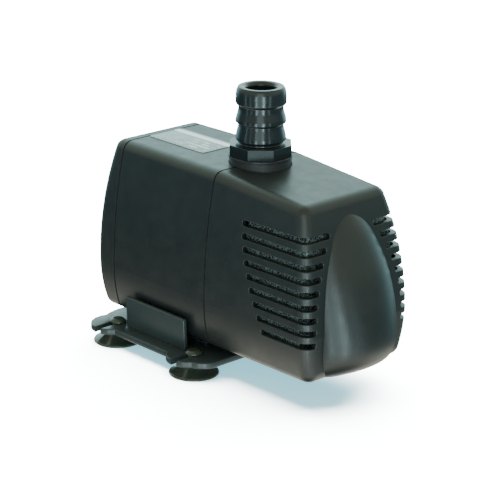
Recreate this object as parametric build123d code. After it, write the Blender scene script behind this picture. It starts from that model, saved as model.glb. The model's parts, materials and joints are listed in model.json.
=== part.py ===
"""Fountain submersible pump: synchronous motor, centrifugal pump, strainer cover, hose tail and base.

Millimetres, +X towards the nose of the strainer, +Z up.  The pump's own shapes are written with
z = 0 at the underside of the casing and lifted by STAND when they are saved, so the finished part
stands on its suction cups at z = 0.
"""
import math
import os

from build123d import *

# ---- driving dimensions -------------------------------------------------------------------------
STAND = 16.0            # underside of the casing above the floor
REAR_END = -92.0        # rearmost point of the rear cap
REAR_SEAM = -75.5       # rear cap meets motor casing
NOSE_END = 92.0         # foremost point of the nose
NOSE_SUNK = 8.0         # centre line of the nose's sections, behind the front face
FRONT_TOP = 62.8        # front face at the top edge
FRONT_REACH = 14.2      # how far the front face rakes forward below
HEIGHT = 96.6           # casing height at the motor
FRONT_DROP = 4.8        # fall of the cover's top from seam to front
HALF_TOP = 31.0         # half width of the top at the mid seam
HALF_WIDE = 38.9        # greatest half width
HALF_FOOT = 34.2        # half width at the bottom before its edge is rounded
WIDE_Z = 26.0           # height of the greatest width
TAPER_TOP = 0.021       # narrowing of the top half width per mm away from the mid seam
TAPER_WIDE = 0.008
WALL = 2.5
SEAM_GAP = 0.2          # half of it on each side of a seam
SEAM_EASE = 0.5         # radius of a seam's outer edges
EDGE_ROUND = 6.5        # outer radius of every edge of the casing

AXIS_Z = 40.0           # rotor axis above the casing's underside
SHAFT_R = 2.5
RUNNING = 0.05          # radial clearance of running fits
CAN_R = 16.0            # outside of the rotor can
CAN_WALL = 1.4
MAGNET_R = 13.6
BULKHEAD_X = -9.5       # front face of the motor bulkhead
CHAMBER_R = 28.0
CHAMBER_REAR = -5.5
CHAMBER_FRONT = 8.0
VOLUTE_WALL = 3.0
IMPELLER_R = 25.0
SCREW_R = 1.7
SCREW_CIRCLE = 34.3
SCREW_ANGLES = (35, 145, 215, 325)

SPOUT_X = 1.2           # axis of the outlet
SPOUT_R = 16.6
SPOUT_TOP = 99.4
THREAD_R = 13.1         # hose tail's thread, G 3/4
THREAD_DEPTH = 13.5
BORE_R = 7.85           # waterway
SEAL_THICK = 1.6
WRENCH_R = 17.6         # corner radius of the eight-sided wrench flange
WRENCH_TALL = 6.3
BARB_R = 13.5
NECK_R = 12.0
TAIL_TOP = 137.9

SLOT_COUNT = 9
SLOT_TOP = 75.8
SLOT_PITCH = 6.68
SLOT_TALL = 3.1
SLOT_REAR = 24.6        # rear end of the top slot
SLOT_RUN = 19.0         # how much further forward the lowest slot starts
SLOT_INNER = 15.6       # inner end of the top slot on the front face
SLOT_SPREAD = 15.6      # how much further out the lowest slot ends
SLOT_EASE = 0.35        # radius of the slots' outer rims
SKIN_DEPTH = 0.3
SPONGE_GAP = 0.6
SPONGE_REAR = 24.0
SPONGE_FRONT = 68.0
SPONGE_EYE_DEPTH = 4.0
SPIGOT_INSET = 2.8
SPIGOT_WALL = 1.4
SPIGOT_REACH = 4.0

NOTCH_GAP = 0.4
SPOUT_FLOOR = 74.0      # underside of the wide part of the spout
BOSS_R = 4.0
BOSS_DEPTH = 8.0
SCREW_END = -18.0
FLANGE = 2.0
CAN_REAR = -72.0
SEAT_DEPTH = 7.0
BUSH_R = 5.2
SHAFT_REAR = -69.5
SHAFT_FRONT = 14.5
FRONT_BUSH_REAR = 8.5
WASHER = 1.2
CARRIER_REAR = -63.5
MAGNET_REAR = -61.5
MAGNET_FRONT = -24.0
SLEEVE_R = 5.0
DOG_IN = 6.3
DOG_OUT = 12.0
DOG_HALF = 28.0
DOG_FRONT = -8.0
CUP_REAR = -18.0        # rear of the impeller's cup
CUP_WALL_R = 13.8
HUB_R = 5.8
VANES = 6
EYE_R = 11.0            # inlet eye of the volute cover
WATERWAY_R = 6.0        # way from the chamber up into the spout
LID = 2.5

CORE_REAR = -60.0
CORE_FRONT = -28.0
CORE_HALF = 25.0
CORE_TOP = 89.0
LEG_INNER = 8.0
LEG_OUTER = 20.0
WINDOW_LOW = 58.0
WINDOW_HIGH = 79.0
COIL_LOW = 58.2
COIL_HIGH = 78.8
COIL_BUILD = 6.5
BOBBIN_WALL = 1.2

GLAND_Z = 78.0
GLAND_R = 6.5
GLAND_OUT = -92.0
GLAND_IN = -80.0
GLAND_HEAD = 8.0
CABLE_R = 3.6
LABEL_REAR = -75.0
LABEL_FRONT = -30.0
LABEL_LEFT = -13.0
LABEL_RIGHT = 11.0

FLANGE_TALL = 1.6       # rail flange
WRENCH_TURN = 2.0       # how far the wrench flange is turned about the outlet axis
CUP_NECK_R = 3.6
MOUTH_HALF = 1.9        # half width of the slot that a cup's neck snaps in through
CLIP_FOOT = 38.2
CLIP_TOP = 13.0
WINDOW_REAR = -66.0     # opening in the middle of the base plate
WINDOW_FRONT = -12.0

PLATE_TOP = -5.0        # bracket plate, below the casing
PLATE_THICK = 3.5
PLATE_REAR = -87.5
PLATE_FRONT = 9.0
PLATE_HALF = 48.5
EAR_R = 12.3
CUP_XS = (-71.8, -7.7)
CUP_Y = 39.0
CUP_R = 13.8
CLIP_REAR = -62.0
CLIP_FRONT = -13.4
RAIL_INNER = 16.0
RAIL_OUTER = 20.0
RAIL_LIP = 3.0
RAIL_REAR = -70.0
RAIL_FRONT = -6.0
SLIDE_GAP = 0.4

PARTS = "parts"
FAR = 300.0
EPS = 0.01


def save(name, shape):
    """Write one sub-part, lifted so that the floor is at z = 0."""
    placed = Pos(0, 0, STAND) * shape
    export_step(placed, os.path.join(PARTS, name + ".step"))


def slab(x_low, x_high, y_low=-FAR, y_high=FAR, z_low=-FAR, z_high=FAR):
    """A box given by its limits along each axis."""
    size = (x_high - x_low, y_high - y_low, z_high - z_low)
    middle = ((x_low + x_high) / 2, (y_low + y_high) / 2, (z_low + z_high) / 2)
    return Pos(*middle) * Box(*size)


def rod(x_low, x_high, radius, y=0.0, z=AXIS_Z):
    """A cylinder along X."""
    place = Pos((x_low + x_high) / 2, y, z) * Rot(0, 90, 0)
    return place * Cylinder(radius, x_high - x_low)


def post(z_low, z_high, radius, x=SPOUT_X, y=0.0):
    """A cylinder along Z."""
    return Pos(x, y, (z_low + z_high) / 2) * Cylinder(radius, z_high - z_low)


def sector(x_low, x_high, r_in, r_out, middle, half_angle):
    """A block along X between two radii, over an angle about the rotor axis."""
    ring = rod(x_low, x_high, r_out) - rod(x_low - 1, x_high + 1, r_in)
    reach = 3 * r_out
    one, other = (math.radians(middle + turn) for turn in (-half_angle, half_angle))
    left = (reach * math.cos(one), reach * math.sin(one))
    right = (reach * math.cos(other), reach * math.sin(other))
    face = Plane.YZ.offset(x_low - 1) * make_face(Polyline((0, 0), left, right, close=True))
    wedge = extrude(face, x_high - x_low + 2)
    return ring & (Pos(0, 0, AXIS_Z) * wedge)


# ---- the casing's outer form --------------------------------------------------------------------
def front_x(z):
    """Place of the raked front face at a height: it curves forward from the top edge down."""
    top = HEIGHT - FRONT_DROP
    down = min(max((top - z) / (top - WIDE_Z), 0.0), 1.0)
    return FRONT_TOP + FRONT_REACH * (1 - (1 - down) ** 2)


def barrel(x, inset):
    """Cross-section at x: flat top and bottom, and sides bowed out to their widest at WIDE_Z."""
    away = abs(x)
    fall = FRONT_DROP * max(x, 0.0) / FRONT_TOP
    top = HEIGHT - fall - inset
    half_top = HALF_TOP - TAPER_TOP * away - inset
    half_wide = HALF_WIDE - TAPER_WIDE * away - inset
    half_foot = HALF_FOOT - TAPER_WIDE * away - inset
    half = (Line((0, top), (half_top, top))
            + TangentArc((half_wide, WIDE_Z), (half_top, top), tangent=(0, 1))
            + TangentArc((half_wide, WIDE_Z), (half_foot, inset), tangent=(0, -1))
            + Line((half_foot, inset), (0, inset)))
    outline = half + mirror(half, Plane.YZ)
    return Plane.YZ.offset(x) * make_face(outline)


def sharp_edges(solid):
    """The edges to round: all but those in the cut at x = 0 and the smooth line at WIDE_Z."""
    chosen = []
    for edge in solid.edges():
        box = edge.bounding_box()
        in_cut = box.max.X < EPS and box.min.X > -EPS
        smooth = abs(box.max.Z - WIDE_Z) < EPS and abs(box.min.Z - WIDE_Z) < EPS
        if not in_cut and not smooth:
            chosen.append(edge)
    return chosen


def eased(solid, x):
    """Round the outer edge of a seam face at x."""
    rim = []
    for edge in solid.edges():
        box = edge.bounding_box()
        if abs(box.min.X - x) < EPS and abs(box.max.X - x) < EPS:
            rim.append(edge)
    return fillet(rim, SEAM_EASE)


def rear_half(inset=0.0):
    """The casing's form from the mid seam back, with its convex end."""
    block = loft([barrel(0, inset), barrel(-110, inset)], ruled=True)
    end = REAR_END + inset
    profile = (ThreePointArc((end + 2.2, -1), (end, 38), (end + 7.5, HEIGHT + 1))
               + Line((end + 7.5, HEIGHT + 1), (1, HEIGHT + 1))
               + Line((1, HEIGHT + 1), (1, -1))
               + Line((1, -1), (end + 2.2, -1)))
    side = extrude(Plane.XZ * make_face(profile), 60, both=True)
    solid = block & side
    return fillet(sharp_edges(solid), EDGE_ROUND - 0.7 * inset)


def front_half(inset=0.0):
    """The casing's form from the mid seam forward, with its raked front face."""
    block = loft([barrel(0, inset), barrel(90, inset)], ruled=True)
    top = HEIGHT + 1
    mid_z = (HEIGHT - FRONT_DROP + WIDE_Z) / 2
    foremost = front_x(WIDE_Z) - inset
    profile = (Line((-1, top), (front_x(HEIGHT - FRONT_DROP) - 0.5 - inset, top))
               + ThreePointArc((front_x(HEIGHT - FRONT_DROP) - 0.5 - inset, top),
                               (front_x(mid_z) - inset, mid_z), (foremost, WIDE_Z))
               + Line((foremost, WIDE_Z), (foremost - 1.5, -1))
               + Line((foremost - 1.5, -1), (-1, -1))
               + Line((-1, -1), (-1, top)))
    side = extrude(Plane.XZ * make_face(profile), 60, both=True)
    solid = block & side
    return fillet(sharp_edges(solid), EDGE_ROUND - 0.7 * inset)


def nose(inset=0.0):
    """The arch-shaped fairing on the front face: elliptic sections that grow from the apex down.

    Each row is a height, the ellipse's half width, and its foremost x.
    """
    rows = ((84.0, 8.0, 66.6), (80.5, 14.6, 69.6), (75.0, 18.2, 73.2), (67.0, 21.4, 77.2), (57.0, 24.4, 81.8),
            (45.0, 26.5, 86.3), (33.0, 27.3, 89.9), (20.0, 27.2, NOSE_END), (11.0, 26.8, 90.4),
            (4.5, 25.6, 84.6), (1.0, 23.0, 78.0))
    sections = []
    for z, half, reach in rows:
        middle = front_x(z) - NOSE_SUNK
        place = Plane(origin=(middle, 0, z), x_dir=(1, 0, 0), z_dir=(0, 0, 1))
        sections.append(place * Ellipse(reach - middle - inset, half - inset))
    return loft(sections)


# ---- strainer cover -----------------------------------------------------------------------------
def slot_cutters():
    """Nine slots a side that wrap the upright front corners: lower ones start further forward."""
    cutters = []
    tall = SLOT_TALL / 2
    for index in range(SLOT_COUNT):
        z = SLOT_TOP - index * SLOT_PITCH
        down = index / (SLOT_COUNT - 1)
        rear = SLOT_REAR + SLOT_RUN * down ** 1.5
        inner = SLOT_INNER + SLOT_SPREAD * (1 - (1 - down) ** 2.2)
        for side in (-1, 1):
            low, high = sorted((side * inner, side * 60.0))
            cutter = slab(rear, 110, low, high, z - tall, z + tall)
            cutter = fillet(cutter.edges().filter_by(Axis.Y).group_by(Axis.X)[0], 0.95 * tall)
            ends = [e for e in cutter.edges().filter_by(Axis.X) if abs(abs(e.center().Y) - inner) < EPS]
            cutters.append(fillet(ends, 0.95 * tall))
    return cutters


def spout_notch():
    """The round opening that casing and cover leave for the spout."""
    return post(SPOUT_FLOOR, FAR, SPOUT_R + NOTCH_GAP)


def slot_rims(solid):
    """The slots' edges that lie on the outer skin: their middles are outside a slightly smaller body."""
    smaller = front_half(SKIN_DEPTH) + nose(SKIN_DEPTH)
    heights = [SLOT_TOP - index * SLOT_PITCH for index in range(SLOT_COUNT)]
    rims = []
    for edge in solid.edges():
        box = edge.bounding_box()
        in_slot = any(box.min.Z > z - SLOT_TALL and box.max.Z < z + SLOT_TALL for z in heights)
        if in_slot and box.min.X > SLOT_REAR - SLOT_TALL and not smaller.is_inside(edge.position_at(0.5)):
            rims.append(edge)
    return rims


def front_cover():
    """The slotted strainer: a shell with its hollow nose, open at the seam, with eased rims."""
    seam = SEAM_GAP / 2
    block = eased((front_half() + nose()) & slab(seam, FAR), seam) - slot_cutters()
    block = fillet(slot_rims(block), SLOT_EASE)
    return block - (front_half(WALL) + nose(WALL)) - spout_notch()


def prefilter_sponge():
    """Coarse foam that fills the front of the cover behind the slots."""
    clear = WALL + SPONGE_GAP
    block = front_half(clear) & slab(SPONGE_REAR, SPONGE_FRONT)
    return block - rod(SPONGE_REAR - 1, SPONGE_REAR + SPONGE_EYE_DEPTH, EYE_R + 2)


# ---- motor --------------------------------------------------------------------------------------
def pocket(radius, floor):
    """The upright round recess behind the spout."""
    return post(floor, FAR, radius)


def motor_casing():
    """Shell with the bulkhead, the spout's pocket, screw bosses, the cover's spigot and the base rails."""
    outer = rear_half()
    rear, front = REAR_SEAM + SEAM_GAP / 2, -SEAM_GAP / 2
    shell = eased(eased(outer & slab(rear, front), rear), front) - rear_half(WALL)
    bulkhead = outer & slab(BULKHEAD_X - WALL, BULKHEAD_X)
    recess = (pocket(SPOUT_R + NOTCH_GAP + WALL, SPOUT_FLOOR - WALL) & outer) & slab(-FAR, BULKHEAD_X)
    spigot = (rear_half(0.8 * WALL) - rear_half(SPIGOT_INSET + SPIGOT_WALL)) & slab(-6, 0)
    lip = front_half(SPIGOT_INSET) - front_half(SPIGOT_INSET + SPIGOT_WALL)
    solid = shell + bulkhead + recess + spigot + (lip & slab(0, SPIGOT_REACH))
    for y, z in screw_places():
        solid += rod(BULKHEAD_X - WALL - BOSS_DEPTH, BULKHEAD_X, BOSS_R, y, z)
    for side in (-1, 1):
        solid += rail(side)
    solid -= spout_notch()
    solid -= rod(BULKHEAD_X - WALL - 1, BULKHEAD_X + 1, CAN_R)
    for y, z in screw_places():
        solid -= rod(SCREW_END, BULKHEAD_X + 1, SCREW_R, y, z)
    return solid


def rail(side):
    """A flanged runner under the casing that slides in the base."""
    inner, outer, lip = (side * v for v in (RAIL_INNER, RAIL_OUTER, RAIL_OUTER + RAIL_LIP))
    web = slab(RAIL_REAR, RAIL_FRONT, min(inner, outer), max(inner, outer), PLATE_TOP, WALL / 2)
    flange = slab(RAIL_REAR, RAIL_FRONT, min(inner, lip), max(inner, lip), PLATE_TOP, PLATE_TOP + FLANGE_TALL)
    return web + flange


def screw_places():
    """Places of the four volute screws about the rotor axis."""
    return [(SCREW_CIRCLE * math.cos(math.radians(a)), AXIS_Z + SCREW_CIRCLE * math.sin(math.radians(a)))
            for a in SCREW_ANGLES]


def rear_cap():
    """Convex end of the casing, with the hole for the cable gland."""
    seam = REAR_SEAM - SEAM_GAP / 2
    shell = eased(rear_half() & slab(-FAR, seam), seam) - rear_half(WALL)
    return shell - rod(-FAR, REAR_SEAM, GLAND_R, 0, GLAND_Z)


def cable_gland():
    """Moulded gland in the rear cap, with its empty cable way."""
    body = rod(GLAND_OUT, GLAND_IN, GLAND_R, 0, GLAND_Z)
    head = rod(GLAND_OUT, GLAND_OUT + GLAND_HEAD, GLAND_R + 3.0, 0, GLAND_Z)
    solid = body + (head - rear_half())
    return solid - rod(-FAR, FAR, CABLE_R, 0, GLAND_Z)


def rotor_can():
    """Thin cup that keeps the water and the rotor apart from the stator."""
    tube = rod(CAN_REAR, BULKHEAD_X, CAN_R) + rod(BULKHEAD_X, BULKHEAD_X + FLANGE, CAN_R + 6)
    tube = tube - rod(CAN_REAR + CAN_WALL, BULKHEAD_X + FLANGE + 1, CAN_R - CAN_WALL)
    seat = rod(CAN_REAR, CAN_REAR + SEAT_DEPTH, 7.0)
    seat -= rod(CAN_REAR + CAN_WALL, CAN_REAR + SEAT_DEPTH + 1, BUSH_R)
    return tube + seat


def stator_core():
    """U-shaped stack of laminations with its bore round the can."""
    low = AXIS_Z - CORE_HALF
    solid = slab(CORE_REAR, CORE_FRONT, -CORE_HALF, CORE_HALF, low, CORE_TOP)
    window = slab(CORE_REAR - 1, CORE_FRONT + 1, -LEG_INNER, LEG_INNER, WINDOW_LOW, WINDOW_HIGH)
    pole_gap = slab(CORE_REAR - 1, CORE_FRONT + 1, -1.5, 1.5, low - 1, WINDOW_LOW + 1)
    bore = rod(CORE_REAR - 1, CORE_FRONT + 1, CAN_R + 0.3)
    sides = [slab(CORE_REAR - 1, CORE_FRONT + 1, min(s * LEG_OUTER, s * 60), max(s * LEG_OUTER, s * 60),
                  WINDOW_LOW, CORE_TOP + 1) for s in (-1, 1)]
    return solid - window - pole_gap - bore - sides


def coil(side, grow_out, grow_in, low, high):
    """A rectangular ring round one leg of the core between two offsets from the leg."""
    middle = side * (LEG_INNER + LEG_OUTER) / 2
    half_y = (LEG_OUTER - LEG_INNER) / 2
    rings = []
    for grow in (grow_out, grow_in):
        box = slab(CORE_REAR - grow, CORE_FRONT + grow, middle - half_y - grow, middle + half_y + grow, low, high)
        rings.append(box)
    return rings[0] - rings[1]


def bobbin(side):
    """Moulded bobbin: a sleeve on the leg and a flange at each end."""
    sleeve = coil(side, BOBBIN_WALL, 0.1, COIL_LOW, COIL_HIGH)
    bottom = coil(side, COIL_BUILD, 0.1, COIL_LOW, COIL_LOW + BOBBIN_WALL)
    top = coil(side, COIL_BUILD, 0.1, COIL_HIGH - BOBBIN_WALL, COIL_HIGH)
    return sleeve + bottom + top


def winding(side):
    """Copper winding between a bobbin's flanges."""
    return coil(side, COIL_BUILD - 0.5, BOBBIN_WALL, COIL_LOW + BOBBIN_WALL, COIL_HIGH - BOBBIN_WALL)


def thermal_cutout():
    """Small thermal fuse lying on the front of the left winding."""
    front = CORE_FRONT + COIL_BUILD
    middle = -(LEG_INNER + LEG_OUTER) / 2
    return slab(front + 0.3, front + 4.3, middle - 4, middle + 4, COIL_LOW + 4, COIL_LOW + 16)


def potting_compound():
    """Resin that fills the casing round the stator."""
    fill = rear_half(WALL + 0.05) & slab(REAR_SEAM - 2, BULKHEAD_X - WALL)
    fill -= pocket(SPOUT_R + NOTCH_GAP + WALL, SPOUT_FLOOR - WALL)
    fill -= rod(CAN_REAR, 0, CAN_R)
    for y, z in screw_places():
        fill -= rod(BULKHEAD_X - WALL - BOSS_DEPTH, 0, BOSS_R, y, z)
    fill -= stator_core()
    for side in (-1, 1):
        fill -= coil(side, COIL_BUILD, 0.0, COIL_LOW, COIL_HIGH)
    return fill - thermal_cutout()


# ---- rotor and impeller -------------------------------------------------------------------------
def shaft():
    """Fixed ceramic shaft."""
    return rod(SHAFT_REAR, SHAFT_FRONT, SHAFT_R)


def rear_bush():
    """Rubber boot that holds the shaft in the can."""
    return rod(CAN_REAR + CAN_WALL, CAN_REAR + SEAT_DEPTH, BUSH_R) - rod(SHAFT_REAR, 0, SHAFT_R)


def front_bush():
    """Rubber boot that holds the shaft in the volute cover."""
    body = rod(FRONT_BUSH_REAR, FRONT_BUSH_REAR + 8, BUSH_R)
    return body - rod(0, SHAFT_FRONT, SHAFT_R)


def thrust_washer(x):
    """Hard washer on the shaft."""
    return rod(x, x + WASHER, 4.6) - rod(x - 1, x + 2, SHAFT_R)


def rotor_magnet():
    """Ring magnet."""
    return rod(MAGNET_REAR, MAGNET_FRONT, MAGNET_R) - rod(MAGNET_REAR - 1, MAGNET_FRONT + 1, SLEEVE_R)


def rotor_carrier():
    """Plastic sleeve through the magnet, with end discs and the dog that drives the impeller."""
    solid = rod(CARRIER_REAR, MAGNET_FRONT + 3, SLEEVE_R)
    solid += rod(CARRIER_REAR, MAGNET_REAR, MAGNET_R - 0.4)
    solid += rod(MAGNET_FRONT, MAGNET_FRONT + 3, MAGNET_R - 0.4)
    solid += sector(MAGNET_FRONT + 2, DOG_FRONT, DOG_IN, DOG_OUT, 0, DOG_HALF)
    return solid - rod(CARRIER_REAR - 1, DOG_FRONT + 1, SHAFT_R + RUNNING)


def impeller():
    """Straight-vaned impeller, with a cup at the back that takes the rotor's dog."""
    back = CHAMBER_REAR + 1.0
    disc = back + 1.8
    front = CHAMBER_FRONT - 1.2
    solid = rod(back, disc, IMPELLER_R) + rod(CUP_REAR, front, HUB_R)
    solid += rod(CUP_REAR, back + 0.5, CUP_WALL_R) - rod(CUP_REAR - 1, back, CUP_WALL_R - 1.2)
    solid += rod(CUP_REAR, back, HUB_R)
    solid += sector(CUP_REAR, back + 0.5, HUB_R - 0.5, CUP_WALL_R - 0.5, 180, DOG_HALF)
    vane = slab(disc - 0.5, front, HUB_R - 1, IMPELLER_R - 0.3, -0.9, 0.9)
    for index in range(VANES):
        solid += Pos(0, 0, AXIS_Z) * (Rot(360 / VANES * index, 0, 0) * vane)
    return solid - rod(CUP_REAR - 1, front + 1, SHAFT_R + RUNNING)


# ---- pump chamber -------------------------------------------------------------------------------
def volute_casing():
    """Round chamber with four screw lugs and the upright threaded spout."""
    solid = rod(BULKHEAD_X, CHAMBER_FRONT, CHAMBER_R + VOLUTE_WALL)
    for y, z in screw_places():
        solid += rod(BULKHEAD_X, CHAMBER_FRONT, BOSS_R, y, z)
    solid += post(SPOUT_FLOOR + 0.5, SPOUT_TOP, SPOUT_R)
    chamber_top = AXIS_Z + CHAMBER_R + VOLUTE_WALL
    neck = post(AXIS_Z + CHAMBER_R - 4, SPOUT_FLOOR + 1, WATERWAY_R + VOLUTE_WALL)
    solid += neck & slab(BULKHEAD_X, CHAMBER_FRONT)
    solid += neck & slab(BULKHEAD_X, FAR, z_low=chamber_top + 0.3)
    solid -= rod(CHAMBER_REAR, FAR, CHAMBER_R) & slab(CHAMBER_REAR, CHAMBER_FRONT + 1)
    solid -= rod(BULKHEAD_X - 1, CHAMBER_REAR + 1, CAN_R - CAN_WALL)
    solid -= rod(BULKHEAD_X - 1, BULKHEAD_X + FLANGE, CAN_R + 6)
    solid -= post(AXIS_Z + 10, FAR, WATERWAY_R)
    solid -= post(SPOUT_TOP - THREAD_DEPTH, FAR, THREAD_R + RUNNING)
    for y, z in screw_places():
        solid -= rod(BULKHEAD_X - 1, FAR, SCREW_R, y, z)
    return solid - volute_seal()


def volute_seal():
    """Rubber ring between the volute and the bulkhead."""
    return rod(BULKHEAD_X, BULKHEAD_X + 1.8, 27.2) - rod(BULKHEAD_X - 1, BULKHEAD_X + 3, 24.8)


def volute_cover():
    """Front plate with the inlet eye and the spider that holds the shaft."""
    solid = rod(CHAMBER_FRONT, CHAMBER_FRONT + LID, CHAMBER_R + VOLUTE_WALL)
    for y, z in screw_places():
        solid += rod(CHAMBER_FRONT, CHAMBER_FRONT + LID, BOSS_R, y, z)
    solid += rod(CHAMBER_FRONT, CHAMBER_FRONT + LID + 4, EYE_R + 2)
    solid -= rod(CHAMBER_FRONT - 1, FAR, EYE_R)
    for index in range(3):
        arm = slab(CHAMBER_FRONT + 1, CHAMBER_FRONT + LID + 2, 0, EYE_R + 0.5, -1.2, 1.2)
        solid += Pos(0, 0, AXIS_Z) * (Rot(90 + 120 * index, 0, 0) * arm)
    solid += rod(CHAMBER_FRONT + 0.5, FRONT_BUSH_REAR + 9, BUSH_R + 1.4)
    solid -= rod(CHAMBER_FRONT - 1, FRONT_BUSH_REAR + 8, BUSH_R)
    for y, z in screw_places():
        solid -= rod(BULKHEAD_X - 1, FAR, SCREW_R, y, z)
    return solid


def volute_screws():
    """Four pan-head screws as one group."""
    screws = Part()
    head = CHAMBER_FRONT + LID
    for y, z in screw_places():
        screw = rod(SCREW_END, head, SCREW_R, y, z) + rod(head, head + 2.2, 3.3, y, z)
        screws += screw - slab(head + 1.2, head + 3, y - 2.2, y + 2.2, z - 0.4, z + 0.4)
    return screws


# ---- outlet -------------------------------------------------------------------------------------
def outlet_seal():
    """Flat washer between the spout and the hose tail."""
    ring = post(SPOUT_TOP, SPOUT_TOP + SEAL_THICK, SPOUT_R + 0.4)
    return ring - post(SPOUT_TOP - 1, SPOUT_TOP + 3, THREAD_R + 0.05)


def hose_tail():
    """Hose tail: thread, eight-sided wrench flange and three barbs that widen towards it."""
    flange_low = SPOUT_TOP + SEAL_THICK
    flange_high = flange_low + WRENCH_TALL
    turns = [math.radians(22.5 + 45 * k) for k in range(8)]
    corner = [(WRENCH_R * math.cos(turn), WRENCH_R * math.sin(turn)) for turn in turns]
    octagon = Plane.XY.offset(flange_low) * make_face(Polyline(*corner, close=True))
    flange = Pos(SPOUT_X, 0, 0) * Rot(0, 0, WRENCH_TURN) * extrude(octagon, WRENCH_TALL)
    outline = Polyline(
        (BORE_R, flange_high - 1), (NECK_R, flange_high - 1), (NECK_R, 108.8), (BARB_R, 109.4), (BARB_R, 110.6),
        (NECK_R, 116.8), (NECK_R, 118.0), (BARB_R, 118.8), (BARB_R, 120.2), (NECK_R, 125.4), (NECK_R, 128.0),
        (BARB_R, 128.8), (BARB_R, 135.4), (12.9, 136.9), (12.0, TAIL_TOP), (BORE_R, TAIL_TOP), close=True)
    barb = Pos(SPOUT_X, 0, 0) * revolve(Plane.XZ * make_face(outline), Axis.Z)
    solid = barb + flange + post(SPOUT_TOP - THREAD_DEPTH + 1.5, flange_low, THREAD_R)
    return solid - post(0, FAR, BORE_R)


# ---- base ---------------------------------------------------------------------------------------
def base_bracket():
    """Base plate with four ears for the cups, two keepers for the rails and two side clips."""
    low = PLATE_TOP - PLATE_THICK
    plate = slab(PLATE_REAR, PLATE_FRONT, -PLATE_HALF, PLATE_HALF, low, PLATE_TOP)
    plate = fillet(plate.edges().filter_by(Axis.Z).group_by(Axis.X)[0], 22)
    plate = fillet(plate.edges().filter_by(Axis.Z).group_by(Axis.X)[-1], 10)
    for x in CUP_XS:
        for side in (-1, 1):
            plate += post(low, PLATE_TOP, EAR_R, x - 1.5, side * (CUP_Y + 2.5))
    plate -= slab(WINDOW_REAR, WINDOW_FRONT, -11, 11, low - 1, PLATE_TOP + 1)
    solid = plate
    for side in (-1, 1):
        solid += keeper(side)
        solid += side_clip(side)
    for x in CUP_XS:
        for side in (-1, 1):
            solid -= post(low - 1, PLATE_TOP + 1, CUP_NECK_R, x, side * CUP_Y)
            reach = sorted((side * CUP_Y, side * 80))
            solid -= slab(x - MOUTH_HALF, x + MOUTH_HALF, *reach, low - 1, PLATE_TOP + 1)
    return solid


def keeper(side):
    """Hooked strip that holds a rail's flange down."""
    inner = RAIL_OUTER + RAIL_LIP + SLIDE_GAP
    hook_low = PLATE_TOP + FLANGE_TALL + SLIDE_GAP
    wall = slab(RAIL_REAR + 6, RAIL_FRONT - 6, min(side * inner, side * (inner + 2.5)),
                max(side * inner, side * (inner + 2.5)), PLATE_TOP - 1, hook_low + 1.2)
    hook = slab(RAIL_REAR + 6, RAIL_FRONT - 6, min(side * (RAIL_OUTER + SLIDE_GAP), side * inner),
                max(side * (RAIL_OUTER + SLIDE_GAP), side * inner), hook_low, hook_low + 1.2)
    return wall + hook


def side_clip(side):
    """Upright panel beside the casing, leaning out a little towards its top."""
    outline = Polyline((side * CLIP_FOOT, PLATE_TOP - 1), (side * (CLIP_FOOT + 2.4), PLATE_TOP - 1),
                       (side * (CLIP_FOOT + 3.4), CLIP_TOP), (side * (CLIP_FOOT + 1.0), CLIP_TOP), close=True)
    panel = extrude(Plane.YZ.offset(CLIP_REAR) * make_face(outline), CLIP_FRONT - CLIP_REAR)
    corners = [e for e in panel.edges() if e.center().Z > CLIP_TOP - EPS and abs(e.tangent_at(0).Y) > 0.9]
    return fillet(corners, 2.0)


def suction_cup(x, y):
    """Rubber cup: hollow skirt with a flat rim on the floor, neck in the ear's slot and a button above it."""
    floor = -STAND
    ear_low = PLATE_TOP - PLATE_THICK
    outline = Polyline((0, floor + 1.8), (CUP_R - 4, floor + 1.0), (CUP_R - 2.6, floor), (CUP_R - 0.4, floor),
                       (CUP_R, floor + 0.5),
                       (CUP_R - 0.8, floor + 1.8), (9.0, floor + 4.2), (6.0, ear_low), (CUP_NECK_R, ear_low),
                       (CUP_NECK_R, PLATE_TOP), (4.8, PLATE_TOP), (4.6, PLATE_TOP + 1.0),
                       (3.0, PLATE_TOP + 2.4), (0, PLATE_TOP + 2.4), close=True)
    return Pos(x, y, 0) * revolve(Plane.XZ * make_face(outline), Axis.Z)


def rating_label():
    """Plain plate on top of the motor casing."""
    label = slab(LABEL_REAR, LABEL_FRONT, LABEL_LEFT, LABEL_RIGHT, HEIGHT, HEIGHT + 0.3)
    return fillet(label.edges().filter_by(Axis.Z), 2.0)


def main():
    """Write every sub-part."""
    os.makedirs(PARTS, exist_ok=True)
    save("motor_casing", motor_casing())
    save("rear_cap", rear_cap())
    save("cable_gland", cable_gland())
    save("rating_label", rating_label())
    save("rotor_can", rotor_can())
    save("stator_core", stator_core())
    for side, name in ((-1, "left"), (1, "right")):
        save("bobbin_" + name, bobbin(side))
        save("winding_" + name, winding(side))
    save("thermal_cutout", thermal_cutout())
    save("potting_compound", potting_compound())
    save("shaft", shaft())
    save("rear_bush", rear_bush())
    save("front_bush", front_bush())
    save("rear_thrust_washer", thrust_washer(CAN_REAR + SEAT_DEPTH))
    save("front_thrust_washer", thrust_washer(FRONT_BUSH_REAR - WASHER))
    save("rotor_magnet", rotor_magnet())
    save("rotor_carrier", rotor_carrier())
    save("impeller", impeller())
    save("volute_casing", volute_casing())
    save("volute_seal", volute_seal())
    save("volute_cover", volute_cover())
    save("volute_screws", volute_screws())
    save("front_cover", front_cover())
    save("prefilter_sponge", prefilter_sponge())
    save("outlet_seal", outlet_seal())
    save("hose_tail", hose_tail())
    save("base_bracket", base_bracket())
    for x, place in zip(CUP_XS, ("rear", "front")):
        for side, name in ((-1, "left"), (1, "right")):
            save("suction_cup_" + place + "_" + name, suction_cup(x, side * CUP_Y))


if __name__ == "__main__":
    main()
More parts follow.
